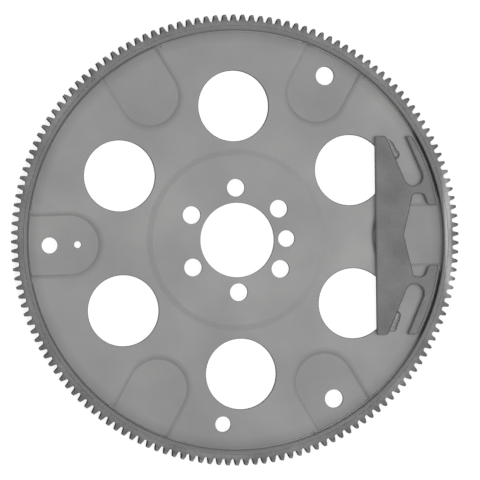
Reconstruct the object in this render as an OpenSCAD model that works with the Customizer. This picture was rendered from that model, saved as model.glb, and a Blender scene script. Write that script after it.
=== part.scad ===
// Pressed steel flexplate with a welded ring gear and a balance weight.
// The origin is on the crank axis at the face that seats on the crank.
// +Z points to the engine, and +X passes through the dowel hole and the weight.

/* [Ring gear] */
// Outside diameter over the tips of the teeth
ring_d = 328.08; // [310:0.01:360]
// Number of teeth
tooth_count = 153; // [148:1:158]
// Pressure angle of the tooth flanks in degrees
pressure_angle = 14.5; // [14:0.5:20]
// Thinning of the teeth at the pitch circle, for play against the starter's pinion
backlash = 0.5; // [0.1:0.05:0.8]
// Fillet at the roots of the teeth
root_fillet = 0.7; // [0.2:0.1:0.9]
// Width of the ring along the crank axis
ring_w = 10.5; // [9:0.5:14]
// Radial thickness of the ring below the tooth roots
ring_wall = 3.6; // [3:0.1:6]
// Drop from the edge of the disc's rim to the ring's front face
ring_setback = 0.2; // [0:0.1:1]
// Radial size of the lead-in chamfer on the front of the teeth
lead_in_r = 2; // [1:0.1:3]
// Depth of the lead-in chamfer along the crank axis
lead_in_h = 1.6; // [0.8:0.1:2.5]
// Edge break at the front of the ring's bore
bore_break = 0.2; // [0.1:0.1:1]
// Clearance between the ring's bore and the rim of the disc
ring_gap = 0.05; // [0.02:0.01:0.2]

/* [Drive disc] */
// Thickness of the sheet
sheet_t = 2.8; // [2:0.1:3.5]
// Radius of the raised crank seat
seat_r = 62; // [58:0.5:66]
// Drop from the crank seat to the web
web_drop = 0.4; // [0.2:0.1:2]
// Radial run of the slope round the crank seat
seat_run = 4.3; // [2:0.1:6]
// Height of the rim's edge above the web
rim_h = 5; // [4.5:0.5:8]
// Inside radius of the bend at the foot of the rim
bend_r = 2; // [1:0.5:4]
// Rise across the rim's edge, from its inner to its outer side
rim_rise = 0.5; // [0.1:0.1:0.8]
// Rounding of the rim's inner edge
rim_round = 0.8; // [0.3:0.1:1.5]
// Edge break on the front of the lightening holes
edge_break = 0.4; // [0.2:0.1:0.8]

/* [Pads] */
// Width of a pad's floor
pad_w = 42.3; // [38:0.1:46]
// Distance from the converter bolt circle in to the centre of a pad's round end
pad_end_inset = 14; // [10:0.5:16]
// Depth that the pads are pressed back from the web
pad_depth = 0.7; // [0.4:0.1:1.8]
// Run of the rounded shoulder round a pad
pad_run = 4.6; // [2:0.1:6]

/* [Holes] */
// Diameter of the crank pilot hole
pilot_d = 54.2; // [48:0.1:58]
// Diameter of the crank bolt circle
crank_circle_d = 76.2; // [74:0.1:82]
// Diameter of the crank bolt holes
crank_hole_d = 13; // [11:0.1:14]
// Angle between the dowel hole and each of the two bolt holes beside it
crank_key_angle = 35.25; // [33:0.25:37]
// Distance from the crank axis to the dowel hole
dowel_r = 36.2; // [35:0.1:40]
// Diameter of the dowel hole
dowel_d = 12.2; // [10:0.1:12.5]
// Distance from the foot of the rim in to the converter bolt circle, which is 273.05 mm across
converter_inset = 14.3; // [12:0.1:17]
// Diameter of the two converter bolt holes beside the weight
converter_hole_d = 13.5; // [11:0.1:15]
// Diameter of the converter hole that locates the converter
locating_hole_d = 11.6; // [10:0.1:13]
// Diameter of the circle through the lightening holes
lightening_circle_d = 195.4; // [190:0.2:200]
// Diameter of the lightening holes
lightening_d = 51.5; // [44:0.5:54]
// Diameter of the small gauge hole in the locating pad
gauge_d = 5.1; // [3:0.1:8]
// Distance from the converter bolt circle in to the gauge hole
gauge_inset = 20.2; // [17:0.1:23]
// Diameter of the tooling hole
tooling_d = 11.4; // [8:0.1:13]
// Distance from the converter bolt circle in to the tooling hole
tooling_inset = 2; // [0:0.1:6]
// Angle of the tooling hole from the dowel hole
tooling_angle = 263.9; // [262:0.1:276]

/* [Balance weight] */
// Thickness of the weight
weight_t = 4.8; // [3:0.1:6]
// Length of the weight
weight_l = 145.6; // [140:0.2:150]
// Width of the weight from its outer arc to its straight inner edge
weight_w = 47.4; // [44:0.1:54]
// Turn of the weight about its middle, as it was set for welding
weight_turn = -1; // [-2:0.1:2]
// Gap between the weight's outer arc and the bend at the foot of the rim
weight_rim_gap = 1.3; // [0.2:0.1:2]
// Corner radius of the weight's outline
weight_corner_r = 1.5; // [0.5:0.1:3]
// Width of the two open slots
slot_w = 13.8; // [10:0.1:15]
// Distance from the outer arc in to the centre of a slot's round end
slot_end_inset = 18.9; // [17:0.1:21]
// Wall between the window and a slot's round end
slot_neck = 5.3; // [4:0.1:8]
// Angle between a slot and the weight's length in degrees
slot_tilt = 23.5; // [20:0.5:26]
// Distance from the outer arc in to the point of the window
window_depth = 26.8; // [24:0.1:32]
// Distance from the outer arc in to the window's inner corners
window_corner_inset = 19.5; // [17:0.1:22]
// Width of the window
window_w = 61.2; // [56:0.2:64]
// Distance from the outer arc in to the root of the arms
arm_root_inset = 11.5; // [10:0.1:14]
// Distance from the outer arc in to the inner edge of the arms' tips
arm_tip_inset = 8.3; // [7:0.1:10]
// Gap between the tips of the two arms
arm_gap = 44; // [36:0.5:50]
// Fillet radius of the window's corners
window_corner_r = 3; // [1:0.5:4]

/* [Welds] */
// Number of stitch welds on the ring gear between two pads
stitches_per_gap = 2; // [1:1:2]
// Angle that one stitch weld covers in degrees
stitch_angle = 12; // [6:1:14]
// Angle between the two stitch welds of a gap in degrees
stitch_spacing = 20; // [18:1:22]
// Height of a stitch weld's crown below the disc's back
stitch_crown = 0.9; // [0.4:0.1:1.4]
// Clearance between a stitch weld and the pieces that it joins
stitch_gap = 0.03; // [0.01:0.01:0.1]
// Leg of the weld beads on the weight, measured out from the weight
bead_leg = 3.6; // [2:0.1:4.5]
// Drop from the weight's face to the crown of its weld beads
bead_drop = 0.3; // [0.1:0.1:2]
// Length of the straight part of a weight bead
bead_l = 13; // [8:0.5:18]
// Distance from the weight's end to its weld bead along the slot
bead_inset = 6; // [4:0.5:10]

/* [Hidden] */
$fn = 96;
// Distance that a cutting shape runs past the face it cuts
over = 1;
// Straight steps in a quarter bend, a pad's shoulder, a rounded corner and one tooth flank
bend_steps = 8;
shoulder_steps = 3;
corner_steps = 6;
flank_steps = 2;
// Power that fills out a weld bead's section, where 1 is a quarter ellipse
bead_fullness = 0.6;

// Radii of the ring gear, from the teeth inwards to the foot of the rim
tooth_module = ring_d / (tooth_count + 2);
tip_r = ring_d / 2;
pitch_r = tip_r - tooth_module;
root_r = pitch_r - 1.25 * tooth_module;
base_r = pitch_r * cos(pressure_angle);
ring_bore_r = root_r - ring_wall;
rim_outer_r = ring_bore_r - ring_gap;
rim_inner_r = rim_outer_r - sheet_t;
foot_r = rim_inner_r - bend_r;

// Heights along the crank axis
web_front_z = -web_drop;
web_back_z = web_front_z - sheet_t;
pad_front_z = web_front_z - pad_depth;
pad_back_z = pad_front_z - sheet_t;
bend_top_z = web_front_z + bend_r;
rim_top_z = web_front_z + rim_h;
ring_front_z = rim_top_z - ring_setback;
ring_rear_z = ring_front_z - ring_w;

// Number of pads and the angle between neighbours
pad_count = 6;
pad_pitch = 360 / pad_count;

// Distances from the crank axis that follow the rim
converter_r = foot_r - converter_inset;
pad_centre_r = converter_r - pad_end_inset;

// Outline of the weight
weight_outer_r = foot_r - weight_rim_gap;
weight_inner_x = weight_outer_r - weight_w;
weight_middle_x = weight_outer_r - weight_w / 2;
weight_far_x = weight_outer_r + weight_w;
weight_half_l = weight_l / 2;
slot_r = slot_w / 2;
slot_end_x = weight_outer_r - slot_end_inset;
slot_end_y = window_w / 2 + slot_neck + slot_r;

// Sideways shift of a sheet's back at a slope, so that the sheet keeps its thickness
function back_shift(rise, run) = sheet_t * tan(atan2(rise, run) / 2);

// Quarter bend from a flat floor up to a wall, as radius and height
function bend_points(r, floor_z) =
    [for (i = [0:bend_steps])
        let (a = 90 * i / bend_steps)
        [foot_r + r * sin(a), floor_z + r - r * cos(a)]];

// Half angle that a tooth covers at a radius, from the involute of the base circle
function involute(a) = tan(a) * 180 / PI - a;
function tooth_half_angle(r) =
    let (thinning = backlash / (2 * pitch_r) * 180 / PI)
    90 / tooth_count + involute(pressure_angle) - involute(acos(base_r / r)) - thinning;

// Radius and half angle of a point on a tooth's side, from the foot of its root fillet to its tip
function flank_point(k) =
    let (start_r = root_r + root_fillet,
         r = start_r + (tip_r - start_r) * (k - 1) / flank_steps,
         fillet_angle = root_fillet / root_r * 180 / PI)
    k == 0 ? [root_r, tooth_half_angle(start_r) + fillet_angle] : [r, tooth_half_angle(r)];

// Closed outline of all the teeth
function tooth_outline() =
    [for (i = [0:tooth_count - 1], side = [-1, 1], k = [0:flank_steps + 1])
        let (p = flank_point(side < 0 ? k : flank_steps + 1 - k),
             a = 360 * i / tooth_count + side * p[1])
        p[0] * [cos(a), sin(a)]];

// Arc of radius r that replaces the corner p between the points a and b
function unit(v) = v / norm(v);
function corner_arc(a, p, b, r) =
    let (u = unit(a - p), v = unit(b - p),
         half = acos(u * v) / 2,
         centre = p + unit(u + v) * r / sin(half),
         start = p + u * r / tan(half) - centre,
         end = p + v * r / tan(half) - centre)
    [for (i = [0:corner_steps])
        centre + r * unit(start + (end - start) * i / corner_steps)];

// Outline with every corner rounded to the radius r
function rounded(points, r) =
    let (n = len(points))
    [for (i = [0:n - 1])
        each corner_arc(points[(i + n - 1) % n], points[i], points[(i + 1) % n], r)];

// Outline with its mirror image across the X axis added to it, and points on the axis kept single
function with_mirror(points) =
    concat(points, [for (i = [len(points) - 1:-1:0]) if (points[i].y != 0) [points[i].x, -points[i].y]]);

// Rounded inner corner of the rim and its sloping edge, as radius and height
function rim_edge() =
    let (slope = rim_rise / sheet_t,
         edge_z = rim_top_z - slope * (sheet_t - rim_round))
    concat(
        [for (i = [0:corner_steps])
            let (a = 90 * i / corner_steps)
            [rim_inner_r + rim_round * (1 - cos(a)), edge_z - rim_round * (1 - sin(a))]],
        [[rim_outer_r + over, rim_top_z + slope * over]]);

// Space inside the rim above the web, with the crank seat standing up in it
module web_cavity() {
    rotate_extrude()
    polygon(concat(
        [[0, rim_top_z + over], [0, 0], [seat_r, 0], [seat_r + seat_run, web_front_z]],
        bend_points(bend_r, web_front_z),
        rim_edge(),
        [[rim_outer_r + over, rim_top_z + over]]));
}

// Filled outside of the disc from the web's back to the edge of the rim
module web_outside() {
    shift = back_shift(web_drop, seat_run);
    rotate_extrude()
    polygon(concat(
        [[0, rim_top_z], [0, -sheet_t], [seat_r - shift, -sheet_t], [seat_r + seat_run - shift, web_back_z]],
        bend_points(bend_r + sheet_t, web_back_z),
        [[rim_outer_r, rim_top_z]]));
}

// Filled round pan with a bend at its edge, from a floor up to a top
module pan(floor_z, r, top_z) {
    wall_r = foot_r + r;
    rotate_extrude()
    polygon(concat([[0, top_z], [0, floor_z]], bend_points(r, floor_z), [[wall_r, top_z]]));
}

// Section of one side of a pad: its shoulder, steepest at the floor, and a steep side above the web
function pad_section(half_w, floor_z, top_z) =
    concat(
        [for (i = [0:shoulder_steps])
            let (t = i / shoulder_steps)
            [half_w + pad_run * t, floor_z + pad_depth * t * (2 - t)]],
        [[half_w + pad_run + top_z - floor_z - pad_depth, top_z]]);

// Form of one pad: a round inner end and straight sides out to the rim
module pad_form(half_w, floor_z) {
    top_z = bend_top_z + over;
    section = pad_section(half_w, floor_z, top_z);
    translate([pad_centre_r, 0, 0]) {
        rotate([0, 0, 90])
        rotate_extrude(angle = 180)
        polygon(concat([[0, floor_z]], section, [[0, top_z]]));
        rotate([90, 0, 90])
        linear_extrude(height = tip_r - pad_centre_r)
        polygon(concat(section, [for (i = [len(section) - 1:-1:0]) [-section[i].x, section[i].y]]));
    }
}

// Places its children on every pad
module at_pads() {
    for (i = [0:pad_count - 1])
        rotate([0, 0, i * pad_pitch]) children();
}

// Places its children at a distance and an angle from the crank axis
module at_polar(r, angle) {
    rotate([0, 0, angle]) translate([r, 0, 0]) children();
}

// Plain round hole right through the disc
module punched_hole(d) {
    translate([0, 0, pad_back_z - over])
    cylinder(d = d, h = rim_top_z - pad_back_z + 2 * over);
}

// Large round hole through the web with a broken edge at the front
module lightening_hole() {
    punched_hole(lightening_d);
    translate([0, 0, web_front_z - edge_break])
    cylinder(d1 = lightening_d, d2 = lightening_d + 2 * (edge_break + over), h = edge_break + over);
}

module disc_holes() {
    punched_hole(pilot_d);
    for (angle = [-crank_key_angle, crank_key_angle, 90, 150, 210, 270])
        at_polar(crank_circle_d / 2, angle) punched_hole(crank_hole_d);
    at_polar(dowel_r, 0) punched_hole(dowel_d);
    for (angle = [-pad_pitch, pad_pitch])
        at_polar(converter_r, angle) punched_hole(converter_hole_d);
    at_polar(converter_r, 180) punched_hole(locating_hole_d);
    at_polar(converter_r - gauge_inset, 180) punched_hole(gauge_d);
    at_polar(converter_r - tooling_inset, tooling_angle) punched_hole(tooling_d);
    at_pads()
        at_polar(lightening_circle_d / 2, pad_pitch / 2) lightening_hole();
}

module drive_disc() {
    shift = back_shift(pad_depth, pad_run);
    color("#959595")
    difference() {
        union() {
            web_outside();
            at_pads() intersection() {
                pad_form(pad_w / 2 + shift, pad_back_z);
                pan(pad_back_z, bend_r + sheet_t, rim_top_z);
            }
        }
        web_cavity();
        at_pads() intersection() {
            pad_form(pad_w / 2, pad_front_z);
            pan(pad_front_z, bend_r, rim_top_z);
        }
        disc_holes();
    }
}

module ring_gear() {
    blank_r = tip_r + over;
    lead_in_slope = lead_in_h / lead_in_r;
    color("#7a7a7a")
    intersection() {
        rotate_extrude()
        polygon([
            [ring_bore_r, ring_rear_z],
            [blank_r, ring_rear_z],
            [blank_r, ring_front_z - lead_in_h - over * lead_in_slope],
            [tip_r - lead_in_r, ring_front_z],
            [ring_bore_r + bore_break, ring_front_z],
            [ring_bore_r, ring_front_z - bore_break]]);
        translate([0, 0, ring_rear_z - over])
        linear_extrude(height = ring_w + 2 * over)
        polygon(tooth_outline());
    }
}

// Outline of one open slot, with its round end at the origin and its mouth along +Y
module slot_outline() {
    mouth_y = weight_half_l;
    polygon(concat(
        [for (i = [0:2 * corner_steps]) slot_r * [-cos(90 * i / corner_steps), -sin(90 * i / corner_steps)]],
        [[slot_r, mouth_y], [-slot_r, mouth_y]]));
}

// Places its children at the round end of the slot on the +Y side, with +Y along the slot
module at_slot() {
    translate([slot_end_x, slot_end_y, 0]) rotate([0, 0, slot_tilt]) children();
}

// Window between the arms, open to the rim
module window_outline() {
    polygon(rounded(
        with_mirror([
            [weight_far_x, arm_gap / 2],
            [weight_outer_r - arm_tip_inset, arm_gap / 2],
            [weight_outer_r - arm_root_inset, window_w / 2],
            [weight_outer_r - window_corner_inset, window_w / 2],
            [weight_outer_r - window_depth, 0]]), window_corner_r));
}

// Turns its children about the middle of the weight
module at_weight() {
    translate([weight_middle_x, 0, 0])
    rotate([0, 0, weight_turn])
    translate([-weight_middle_x, 0, 0])
    children();
}

module balance_weight() {
    color("#787878")
    translate([0, 0, web_front_z])
    linear_extrude(height = weight_t)
    difference() {
        intersection() {
            at_weight()
            polygon(rounded(
                with_mirror([
                    [weight_inner_x, weight_half_l],
                    [weight_far_x, weight_half_l]]), weight_corner_r));
            circle(r = weight_outer_r);
        }
        at_weight() {
            for (side = [0, 1])
                mirror([0, side, 0]) at_slot() slot_outline();
            window_outline();
        }
    }
}

// Section of a stitch weld in the seam between the disc's bend and the ring's bore
module stitch_section() {
    outer_r = ring_bore_r - stitch_gap;
    bend_outer_r = bend_r + sheet_t + stitch_gap;
    centre_z = web_back_z + bend_r + sheet_t;
    inner_a = 15;
    steps = 2 * bend_steps;
    end_a = asin((outer_r - foot_r) / bend_outer_r) - inner_a / 2;
    crown_z = web_back_z - stitch_crown;
    inner = [for (i = [0:steps])
        let (a = inner_a + (end_a - inner_a) * i / steps)
        [foot_r + bend_outer_r * sin(a), centre_z - bend_outer_r * cos(a)]];
    crown_r = (inner[0].x + outer_r) / 2;
    polygon(concat(inner, [[outer_r, inner[steps].y], [outer_r, crown_z], [crown_r, crown_z]]));
}

module ring_gear_welds() {
    color("#6a6a6a")
    at_pads()
    for (i = [0:stitches_per_gap - 1]) {
        middle = pad_pitch / 2 + (i - (stitches_per_gap - 1) / 2) * stitch_spacing;
        rotate([0, 0, middle - stitch_angle / 2])
        rotate_extrude(angle = stitch_angle) stitch_section();
    }
}

// Full, rounded section of a weight bead, with its corner at the origin
module bead_section() {
    bead_h = weight_t - bead_drop;
    polygon(concat([[0, 0]],
        [for (i = [0:corner_steps])
            let (a = 90 * i / corner_steps)
            [bead_leg * pow(cos(a), bead_fullness), bead_h * pow(sin(a), bead_fullness)]]));
}

// Weld bead along +Y against a wall on its -X side, with round ends
module weld_bead() {
    translate([0, bead_l, 0]) {
        rotate([90, 0, 0]) linear_extrude(height = bead_l) bead_section();
        rotate_extrude(angle = 90) bead_section();
    }
    rotate([0, 0, -90]) rotate_extrude(angle = 90) bead_section();
}

module balance_weight_welds() {
    mouth_y = (weight_half_l - slot_end_y + slot_r * sin(slot_tilt)) / cos(slot_tilt);
    color("#9a9a9a")
    at_weight()
    for (side = [0, 1])
        mirror([0, side, 0])
        at_slot()
        translate([-slot_r, mouth_y - bead_inset - bead_l, web_front_z])
        weld_bead();
}

drive_disc();
ring_gear();
balance_weight();
ring_gear_welds();
balance_weight_welds();
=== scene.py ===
# %% [markdown]
# # A pressed steel flexplate, dressed from its solids
# A flexplate is the thin disc that carries an engine's torque to the torque converter. Its rim holds the
# ring gear that the starter turns, and a slotted plate welded near the rim balances the engine. The
# shapes come from the CAD solids, so this lesson is about edges, bare steel, weld metal, light and the
# camera. It could all be modelled again by hand in Blender, but a measured solid is already right, and
# only needs a finish.

# %% Load the solids
import math

import bmesh
import bpy
from mathutils import Matrix, Vector


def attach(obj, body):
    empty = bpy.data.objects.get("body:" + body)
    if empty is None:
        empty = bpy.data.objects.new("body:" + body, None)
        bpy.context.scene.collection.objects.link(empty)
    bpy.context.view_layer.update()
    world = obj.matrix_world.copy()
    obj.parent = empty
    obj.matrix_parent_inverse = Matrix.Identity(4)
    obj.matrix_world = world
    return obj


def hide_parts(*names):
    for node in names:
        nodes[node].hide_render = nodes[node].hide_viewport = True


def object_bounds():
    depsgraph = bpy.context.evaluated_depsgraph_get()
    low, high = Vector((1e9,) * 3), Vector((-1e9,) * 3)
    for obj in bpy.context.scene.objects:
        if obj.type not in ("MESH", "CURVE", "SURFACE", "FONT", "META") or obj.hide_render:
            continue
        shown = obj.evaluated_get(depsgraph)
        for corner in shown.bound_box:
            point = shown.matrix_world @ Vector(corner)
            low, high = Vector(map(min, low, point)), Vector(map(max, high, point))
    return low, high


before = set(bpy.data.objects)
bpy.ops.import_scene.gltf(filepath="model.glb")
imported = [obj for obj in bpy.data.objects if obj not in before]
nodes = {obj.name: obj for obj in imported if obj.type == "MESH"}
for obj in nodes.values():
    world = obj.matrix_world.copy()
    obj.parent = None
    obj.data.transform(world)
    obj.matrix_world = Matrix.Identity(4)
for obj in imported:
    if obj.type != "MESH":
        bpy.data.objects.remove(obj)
cad_low, cad_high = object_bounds()
MM = 0.001
for name, piece in sorted(nodes.items()):
    print(name, len(piece.data.vertices), "vertices", len(piece.data.polygons), "faces")

# %% [markdown]
# ## Soft edges
# No real edge is perfectly sharp. A punched hole has a rolled edge, a sheared plate has a rounded one,
# and each catches a thin line of light that tells the eye the part is solid. The edges could be rounded
# in the CAD, which would cost thousands of faces. Here modifiers do it: Weld joins the points that the
# file keeps apart, a planar Decimate merges the triangles of each flat face, and Bevel rounds what is
# left. Bevel has a guard that narrows every edge of a piece when one short edge leaves no room. The fine
# teeth need it, and it leaves them 0.02 mm. The disc does without it and stays clean.

# %% Round the edges
SAME_POINT = 0.002 * MM
SAME_PLANE = math.radians(0.05)


def round_edges(node, width, segments, sharper_than, guard=True):
    piece = nodes[node]
    weld = piece.modifiers.new("join_points", "WELD")
    weld.merge_threshold = SAME_POINT
    flat = piece.modifiers.new("merge_flat_faces", "DECIMATE")
    flat.decimate_type = "DISSOLVE"
    flat.angle_limit = SAME_PLANE
    bevel = piece.modifiers.new("round_edges", "BEVEL")
    bevel.width = width * MM
    bevel.segments = segments
    bevel.limit_method = "ANGLE"
    bevel.angle_limit = math.radians(sharper_than)
    bevel.harden_normals = True
    bevel.use_clamp_overlap = guard
    print(node, "edges rounded to", width, "mm")


round_edges("drive_disc", width=0.25, segments=2, sharper_than=25, guard=False)
round_edges("ring_gear", width=0.02, segments=2, sharper_than=25)
round_edges("balance_weight", width=0.9, segments=3, sharper_than=40)

# %% [markdown]
# ## Three small helpers
# A paint chip gives its colour in sRGB, as a hex number, but a shader works in linear light. The first
# function turns one into the other. The second adds one node to a node tree, with its settings, its
# values and its links, so that each material below reads as a list of what it is made of. The third turns
# a measure, such as a height, into a grey, through the stops of a colour ramp. A painted texture could do
# that too, but greys that follow measures stay where they belong when the part changes size.

# %% Colour and node helpers
def linear(hex_colour):
    channels = [int(hex_colour[i:i + 2], 16) / 255 for i in (1, 3, 5)]
    return [c / 12.92 if c <= 0.04045 else ((c + 0.055) / 1.055) ** 2.4 for c in channels] + [1.0]


def add(tree, kind, inputs=None, **settings):
    node = tree.nodes.new(kind)
    for name, value in settings.items():
        setattr(node, name, value)
    for socket, value in (inputs or {}).items():
        if isinstance(value, bpy.types.NodeSocket):
            tree.links.new(value, node.inputs[socket])
        else:
            node.inputs[socket].default_value = value
    return node


def grey_scale(tree, value, greys):
    low, high = min(greys), max(greys)
    share = add(tree, "ShaderNodeMapRange", {"Value": value, "From Min": low, "From Max": high})
    ramp = add(tree, "ShaderNodeValToRGB", {"Fac": share.outputs[0]})
    while len(ramp.color_ramp.elements) < len(greys):
        ramp.color_ramp.elements.new(0.5)
    for stop, level in zip(ramp.color_ramp.elements, sorted(greys)):
        stop.position = (level - low) / (high - low)
        stop.color = (greys[level], greys[level], greys[level], 1)
    return ramp.outputs["Color"]


print("mid grey in linear light:", [round(c, 3) for c in linear("#808080")[:3]])

# %% [markdown]
# ## A recipe for bare steel
# Steel that is pickled, pressed and left bare is a metal without polish. It shows a broad, soft
# reflection of the room and almost no picture in it, so the recipe is metallic 1 with a high roughness.
# Pickling leaves a fine grain, and handling leaves broad patches that differ by a few percent: noise in
# the colour, the roughness and a shallow bump. The true grain is near 0.1 mm and would vanish at this
# distance, so it is drawn at 1 to 2 mm. Heat and wear also change the tone from place to place, and some
# tones are painted shade and painted highlights, so the recipe takes tones that follow a measure in
# millimetres: the height, the distance from the axis, or how far a point lies up and to the right. One
# more measure is the flatness of a face in thousandths: 1000 lies flat and 0 stands upright. It leaves out
# the rim, which has tones of its own.

# %% Recipe for bare steel
UPWARD = (0.0, 0.0, 1.0)
RIM_FOOT_MM = 144
ROUGHNESS_SPREAD = 0.05


def reach(tree, place, axis):
    return add(tree, "ShaderNodeVectorMath", {0: place, 1: axis}, operation="DOT_PRODUCT").outputs["Value"]


def radius(tree, place):
    level = add(tree, "ShaderNodeVectorMath", {0: place, 1: (1.0, 1.0, 0.0)}, operation="MULTIPLY")
    return add(tree, "ShaderNodeVectorMath", {0: level.outputs[0]}, operation="LENGTH").outputs["Value"]


def flatness(tree, place):
    facing = add(tree, "ShaderNodeNewGeometry").outputs["Normal"]
    flat = add(tree, "ShaderNodeMath", {0: reach(tree, facing, UPWARD)}, operation="ABSOLUTE")
    outward = radius(tree, place)
    rim = add(tree, "ShaderNodeMath", {0: outward, 1: RIM_FOOT_MM * MM}, operation="GREATER_THAN")
    either = add(tree, "ShaderNodeMath", {0: flat.outputs[0], 1: rim.outputs[0]}, operation="MAXIMUM")
    return either.outputs[0]


def measure(tree, place, kind):
    if kind == "radius":
        return radius(tree, place)
    if kind == "flatness":
        return flatness(tree, place)
    return reach(tree, place, {"height": UPWARD, "up_and_right": (1.0, 0.0, 1.0)}[kind])


def noise(tree, place, size_mm, detail):
    scale = 1 / (size_mm * MM)
    texture = add(tree, "ShaderNodeTexNoise", {"Vector": place, "Scale": scale, "Detail": detail})
    return texture.outputs["Fac"]


def bare_steel(name, light, dark, roughness, patch_mm, grain_mm, grain_height_mm, tones=None):
    material = bpy.data.materials.new(name)
    material.use_nodes = True
    tree = material.node_tree
    tree.nodes.clear()
    place = add(tree, "ShaderNodeTexCoord").outputs["Object"]
    patches = noise(tree, place, patch_mm, detail=4.0)
    grain = noise(tree, place, grain_mm, detail=3.0)
    blend = add(tree, "ShaderNodeMath", {0: patches, 1: grain}, operation="ADD")
    share = add(tree, "ShaderNodeMapRange", {"Value": blend.outputs[0], "From Min": 0.7, "From Max": 1.3})
    colour = add(tree, "ShaderNodeMix", {"Factor": share.outputs[0]}, data_type="RGBA")
    colour.inputs["A"].default_value = linear(dark)
    colour.inputs["B"].default_value = linear(light)
    for kind, tones_mm in (tones or {}).items():
        greys = {mm * MM: grey for mm, grey in tones_mm.items()}
        plain = colour.outputs["Result"]
        colour = add(tree, "ShaderNodeMix", {"Factor": 1.0}, data_type="RGBA", blend_type="MULTIPLY")
        tree.links.new(plain, colour.inputs["A"])
        tree.links.new(grey_scale(tree, measure(tree, place, kind), greys), colour.inputs["B"])
    gloss = add(tree, "ShaderNodeMapRange", {
        "Value": patches, "From Min": 0.3, "From Max": 0.7,
        "To Min": roughness + ROUGHNESS_SPREAD, "To Max": roughness - ROUGHNESS_SPREAD})
    bump = add(tree, "ShaderNodeBump", {
        "Height": grain, "Distance": grain_height_mm * MM, "Strength": 0.5})
    steel = add(tree, "ShaderNodeBsdfPrincipled", {
        "Base Color": colour.outputs["Result"], "Metallic": 1.0,
        "Roughness": gloss.outputs[0], "Normal": bump.outputs[0]})
    add(tree, "ShaderNodeOutputMaterial", {"Surface": steel.outputs[0]})
    print(name, "made with patches of", patch_mm, "mm and grain of", grain_mm, "mm")
    return material


def dress(piece, material):
    piece.data.materials.clear()
    piece.data.materials.append(material)


# %% [markdown]
# ## The disc
# The disc is mild steel sheet. The press leaves its pads a little darker, and weld heat dulls the upright
# rim. The corner at the rim's foot is darkened with painted shade. Steep faces are darker: the punch tears
# the walls of the holes, which leaves them dull, and on every wall, bend and chamfer the darkening is also
# painted shade. The rim's outer edge is painted lighter, which fills the shade of the seam with the ring,
# and a painted highlight lies on the rim, brightest beside the weight. Each of these could be painted by
# hand on an unwrapped mesh. Tones that follow measures need no unwrapping.

# %% Material of the disc
# Pale, dull and even: a soft grey in which each pressed line shows as a thin darker one.
dress(nodes["drive_disc"], bare_steel(
    "pickled_mild_steel", "#c5c5c4", "#c1c1c1", 0.5, patch_mm=60, grain_mm=1.6, grain_height_mm=0.02,
    tones={"height": {-1.05: 0.96, -0.5: 1.0, 0.5: 1.0, 2: 0.64, 4.6: 0.64},
           # Steep faces darker: the torn walls of punched holes are dull, and on every wall, bend and
           # chamfer this is painted shade.
           "flatness": {700: 0.3, 950: 1.0},
           # Painted shade in the corner at the rim's foot; a painted light band on the rim's outer edge
           # fills the seam's shade.
           "radius": {RIM_FOOT_MM: 1.0, 151: 0.85, 152.5: 0.85, 153: 1.0, 155: 1.0, 155.4: 1.7},
           # Painted highlight on the rim, brightest beside the weight.
           "up_and_right": {157: 1.0, 159: 2.4}}))

# %% [markdown]
# ## The ring gear and the weight
# The ring is medium carbon steel whose teeth are hardened by a quick heat, which darkens them towards
# their tips. Beside the weight its front carries a painted highlight, like the rim. The weight is cut from
# plate that was rolled hot, and keeps a coarser, darker skin. Both could share one steel, but the eye
# tells the three pieces apart by exactly these small differences of tone.

# %% Materials of the ring gear and the weight
# Darker than the sheet, so the ring reads as a band of its own, with dark tips that sharpen the teeth.
dress(nodes["ring_gear"], bare_steel(
    "hardened_gear_steel", "#ababaa", "#919191", 0.45, patch_mm=30, grain_mm=2.0, grain_height_mm=0.03,
    tones={"radius": {158: 1.0, 163.5: 0.6},
           # Painted highlight on the ring's front beside the weight.
           "up_and_right": {156: 1.0, 159.5: 1.75, 161.5: 1.75, 163.5: 1.0}}))
# Dull and dark with a faint mottle, so the weight stands out from the disc that it lies on.
dress(nodes["balance_weight"], bare_steel(
    "hot_rolled_plate_steel", "#a5a5a4", "#979797", 0.5, patch_mm=25, grain_mm=1.4, grain_height_mm=0.03))

# %% [markdown]
# ## Rippled weld beads
# A weld freezes in steps behind the arc, and each step leaves a curved ripple, so a bead looks like a row
# of fallen coins. The CAD beads are plain, because a ripple there would cost faces and carry no load.
# Here each bead is a skin over closed loops of points, as a loft is in CAD. It lies in the same corner as
# the plain bead, and its width changes along the way, because a hand that guides an arc is never quite
# steady.

# %% A skin over loops
LOOPS = 100
CREASE = math.radians(50)


def skin(name, beads):
    mesh = bpy.data.meshes.new(name)
    points, faces = [], []
    for loops in beads:
        start, count = len(points), len(loops[0])
        points += [p for loop in loops for p in loop]
        for row in range(len(loops) - 1):
            a = start + row * count
            b = a + count
            faces += [(a + j, a + (j + 1) % count, b + (j + 1) % count, b + j) for j in range(count)]
        faces += [tuple(range(start, start + count)), tuple(range(len(points) - count, len(points)))]
    mesh.from_pydata([Vector(p) * MM for p in points], [], faces)
    shell = bmesh.new()
    shell.from_mesh(mesh)
    bmesh.ops.recalc_face_normals(shell, faces=shell.faces)
    shell.to_mesh(mesh)
    shell.free()
    mesh.shade_smooth()
    mesh.set_sharp_from_angle(angle=CREASE)
    piece = bpy.data.objects.new(name, mesh)
    bpy.context.scene.collection.objects.link(piece)
    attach(piece, "root")
    print(name, "has", len(beads), "beads and", len(faces), "faces")
    return piece


def ripple(along, pitch):
    return abs(math.sin(math.pi * along / pitch))


# %% [markdown]
# ## Beads of the weight
# One bead lies in each slot, in the corner between the slot's wall and the disc. The loops start in that
# corner, go out along the disc and arch back to the wall. Their places repeat the CAD's: the weight's
# middle and turn, and each slot's round end, lean and half width, in millimetres.

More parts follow.
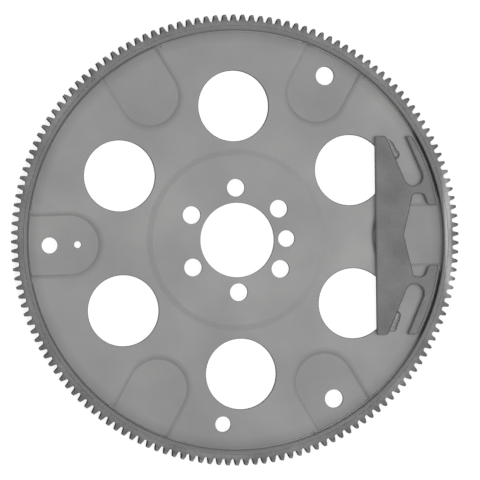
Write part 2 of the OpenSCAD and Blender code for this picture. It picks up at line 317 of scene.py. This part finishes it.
# %% Beads of the weight
WEB_Z, WEIGHT_X, WEIGHT_TURN = -0.4, 125.83, math.radians(-1)
SLOT_X, SLOT_Y, SLOT_LEAN, SLOT_HALF_WIDTH = 130.63, 42.8, math.radians(23.5), 6.9
BEAD_Y, BEAD_LENGTH, BEAD_END, BEAD_HEIGHT = 19.7, 10.0, 3.2, 4.5
BEAD_WIDTHS = {1: (4.9, 3.5), -1: (4.7, 5.3)}
# Shares of the bead's size: its plain body, its ripples, and the slow wander of the hand.
BODY, RIPPLES, WANDER, WANDER_PER_MM = 0.92, 0.05, 0.03, 0.9
# Spacing and bow of the ripples, then how full the arch is, its steps, and how blunt the ends are.
BEAD_PITCH, BEAD_BOW, FULLNESS, ARCH_STEPS, BLUNT_TIP = 2.0, 1.2, 0.8, 12, 0.004

weight_place = (Matrix.Translation((WEIGHT_X, 0, 0)) @ Matrix.Rotation(WEIGHT_TURN, 4, "Z")
                @ Matrix.Translation((-WEIGHT_X, 0, 0)))
slot_place = Matrix.Translation((SLOT_X, SLOT_Y, WEB_Z)) @ Matrix.Rotation(SLOT_LEAN, 4, "Z")
bead_place = slot_place @ Matrix.Translation((-SLOT_HALF_WIDTH, BEAD_Y, 0))
weight_beads = []
for side, (near, far) in BEAD_WIDTHS.items():
    place = weight_place @ Matrix.Diagonal((1, side, 1, 1)) @ bead_place
    loops = []
    for i in range(LOOPS + 1):
        along = -BEAD_END + (BEAD_LENGTH + 2 * BEAD_END) * i / LOOPS
        past_end = max(-along, along - BEAD_LENGTH, 0) / BEAD_END
        size = math.sqrt(max(1 - past_end ** 2, BLUNT_TIP))
        width = near + (far - near) * along / BEAD_LENGTH
        loop = [place @ Vector((0, along, 0))]
        for j in range(ARCH_STEPS + 1):
            turn = math.radians(90 * j / ARCH_STEPS)
            wave = RIPPLES * ripple(along - BEAD_BOW * math.sin(2 * turn), BEAD_PITCH)
            swell = size * (BODY + wave + WANDER * math.sin(WANDER_PER_MM * along + side))
            out = math.cos(turn) ** FULLNESS if j < ARCH_STEPS else 0.0
            up = math.sin(turn) ** FULLNESS
            loop.append(place @ Vector((width * swell * out, along, BEAD_HEIGHT * swell * up)))
        loops.append(loop)
    weight_beads.append(loops)
# Lighter than the plate beside it and finely mottled, so it reads as metal that ran and froze.
weld_metal = bare_steel(
    "weld_metal", "#cfcfce", "#bcbcbc", 0.5, patch_mm=6, grain_mm=1.0, grain_height_mm=0.03)
front_beads = skin("rippled_weight_beads", weight_beads)
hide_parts("balance_weight_welds")
dress(front_beads, weld_metal)

# %% [markdown]
# ## Stitch welds behind the ring
# On the back, twelve short welds fill the seam between the disc's bend and the ring. Each is the same
# kind of skin, swept round the axis. Its loop goes up the bend to the ring's bore, where a weld would
# bite, and comes back over a crown that ripples. Radii, heights and lengths are in millimetres, and the
# places and spans round the axis are in degrees.

# %% Stitch welds
FOOT_R, BEND_R, BEND_Z, BORE_R, CROWN_Z = 150.83, 4.83, 1.6, 155.65, -4.1
PAD_PITCH, STITCH_OFFSETS, STITCH_SPAN = 60, (20, 40), 12
STITCH_LENGTH, STITCH_END, STITCH_PITCH, STITCH_BOW = 33.0, 2.0, 1.9, 1.5
RIPPLE_DEPTH, CROWN_FALL, CROWN_STEPS, THIN_TIP = 0.25, 1.03, 8, 0.02
BEND_FROM, BEND_STEP, BEND_POINTS = 15, 8, 9
bend_turns = [math.radians(BEND_FROM + BEND_STEP * i) for i in range(BEND_POINTS)]
bend_side = [(FOOT_R + BEND_R * math.sin(a), BEND_Z - BEND_R * math.cos(a)) for a in bend_turns]
start_r, bite_z = bend_side[0][0], bend_side[-1][1]
stitches = []
for middle in [PAD_PITCH * pad + offset for pad in range(6) for offset in STITCH_OFFSETS]:
    loops = []
    for i in range(LOOPS + 1):
        turn = math.radians(middle + STITCH_SPAN * (i / LOOPS - 0.5))
        along = STITCH_LENGTH * i / LOOPS
        past_end = max(STITCH_END - along, along - (STITCH_LENGTH - STITCH_END), 0) / STITCH_END
        fade = math.sqrt(max(1 - past_end ** 2, THIN_TIP))
        section = bend_side + [(BORE_R, bite_z)]
        for t in [j / CROWN_STEPS for j in range(CROWN_STEPS)]:
            r = BORE_R + (start_r - BORE_R) * t
            bend_z = BEND_Z - math.sqrt(max(BEND_R ** 2 - (r - FOOT_R) ** 2, 0))
            arch = math.sin(math.pi * t)
            wave = arch * ripple(along - STITCH_BOW * arch, STITCH_PITCH)
            crown_z = CROWN_Z + RIPPLE_DEPTH * (1 - wave) + CROWN_FALL * max(2 * t - 1, 0)
            section.append((r, bend_z + (crown_z - bend_z) * fade))
        loops.append([(r * math.cos(turn), r * math.sin(turn), z) for r, z in section])
    stitches.append(loops)
rear_beads = skin("rippled_stitch_welds", stitches)
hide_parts("ring_gear_welds")
dress(rear_beads, weld_metal)

# %% [markdown]
# ## A plain pale floor
# The part lies on white paper. A real sheet throws light up under the part and fills every dark edge with
# it, and a studio stops that with black cards. Here the floor is simply left out of what the steel
# reflects, and it blocks no light. A glow of its own keeps it white all over.

# %% Floor
floor_z = cad_low[2]
bpy.ops.mesh.primitive_plane_add(size=6, location=(0, 0, floor_z))
floor = bpy.context.object
floor.name = "studio_floor"
floor.visible_glossy = False
floor.visible_diffuse = False
floor.visible_shadow = False
# Bright and without shine, so that it reads as empty paper and the outline of the part stays clear.
paper = bpy.data.materials.new("matt_white_paper")
paper.use_nodes = True
sheet = paper.node_tree.nodes["Principled BSDF"]
sheet.inputs["Base Color"].default_value = linear("#f4f4f4")
sheet.inputs["Roughness"].default_value = 0.9
sheet.inputs["Emission Color"].default_value = (1, 1, 1, 1)
sheet.inputs["Emission Strength"].default_value = 0.75
floor.data.materials.append(paper)
print("floor at", round(floor_z / MM, 2), "mm")

# %% [markdown]
# ## Soft studio light
# Bare steel shows the light that it reflects. From this camera the flat of the plate mirrors a patch of
# ceiling a little right of straight up, so one broad soft box hangs there and makes the plate an even
# grey. A slope mirrors what lies beside the box, which is dimmer, and so each pressing shows as a darker
# line. A far and a near box soften that on the slopes that face them. The room itself is the world's
# background, dim overhead and bright in a band at and below the horizon, which lights the teeth and the
# walls when the part is seen from the side.

# %% Lights
def soft_box(name, place, size, watts):
    lamp = bpy.data.lights.new(name, "AREA")
    lamp.shape = "RECTANGLE"
    lamp.size, lamp.size_y = size
    lamp.energy = watts
    box = bpy.data.objects.new(name, lamp)
    box.location = place
    box.rotation_euler = (-Vector(place)).to_track_quat("-Z", "Y").to_euler()
    bpy.context.scene.collection.objects.link(box)
    print(name, "of", watts, "W at", place)


soft_box("overhead_soft_box", (0.46, 0, 1.8), (1.0, 1.8), 3.85)
soft_box("far_soft_box", (0, 1.7, 0.6), (1.6, 0.5), 3.4)
soft_box("near_soft_box", (0, -1.7, 0.6), (1.6, 0.5), 3.4)
BAND_GLOW, OVERHEAD_GLOW = 1.2, 0.34
world = bpy.data.worlds.new("pale_room")
world.use_nodes = True
room = world.node_tree
looking = add(room, "ShaderNodeTexCoord").outputs["Generated"]
rise = add(room, "ShaderNodeVectorMath", {0: looking, 1: (0.15, 0.0, 1.0)}, operation="DOT_PRODUCT")
glow = grey_scale(room, rise.outputs["Value"], {
    -1.0: 0.06, -0.65: 0.1, -0.45: BAND_GLOW, -0.1: BAND_GLOW, 0.1: 0.6, 0.3: 0.35, 0.5: 0.2,
    1.0: OVERHEAD_GLOW})
room.nodes["Background"].inputs["Color"].default_value = linear("#ffffff")
room.links.new(glow, room.nodes["Background"].inputs["Strength"])
bpy.context.scene.world = world
bpy.context.scene.view_settings.view_transform = "Standard"
print("room glows", BAND_GLOW, "near the horizon and", OVERHEAD_GLOW, "overhead")

# %% [markdown]
# ## The camera
# The photograph looks almost straight at the plate, from a little to the left, so the right-hand walls of
# the holes show. A long lens far away keeps the outline round. The camera could be turned by hand until
# it fits, but here its axes are worked out from the plate's tilt and turn in the picture, and put
# straight into its matrix.

# %% Camera
TILT = math.radians(8)
TURN = math.radians(1.65)
DISTANCE = 1.8
VIEW_WIDTH = 349.5 * MM
OFFSET = 1.9 * MM
across = Vector((math.cos(TURN), -math.sin(TURN), 0))
upward = Vector((math.sin(TURN), math.cos(TURN), 0))
outward = Vector((0, 0, 1))
back = outward * math.cos(TILT) - across * math.sin(TILT)
right = across * math.cos(TILT) + outward * math.sin(TILT)
eye = across * OFFSET + back * DISTANCE
lens = bpy.data.cameras.new("long_lens")
lens.lens = lens.sensor_width * DISTANCE / VIEW_WIDTH
lens.clip_end = 10
camera = bpy.data.objects.new("camera", lens)
camera.matrix_world = Matrix((
    (right.x, upward.x, back.x, eye.x),
    (right.y, upward.y, back.y, eye.y),
    (right.z, upward.z, back.z, eye.z),
    (0, 0, 0, 1)))
bpy.context.scene.collection.objects.link(camera)
bpy.context.scene.camera = camera
print("lens of", round(lens.lens), "mm at", DISTANCE, "m")
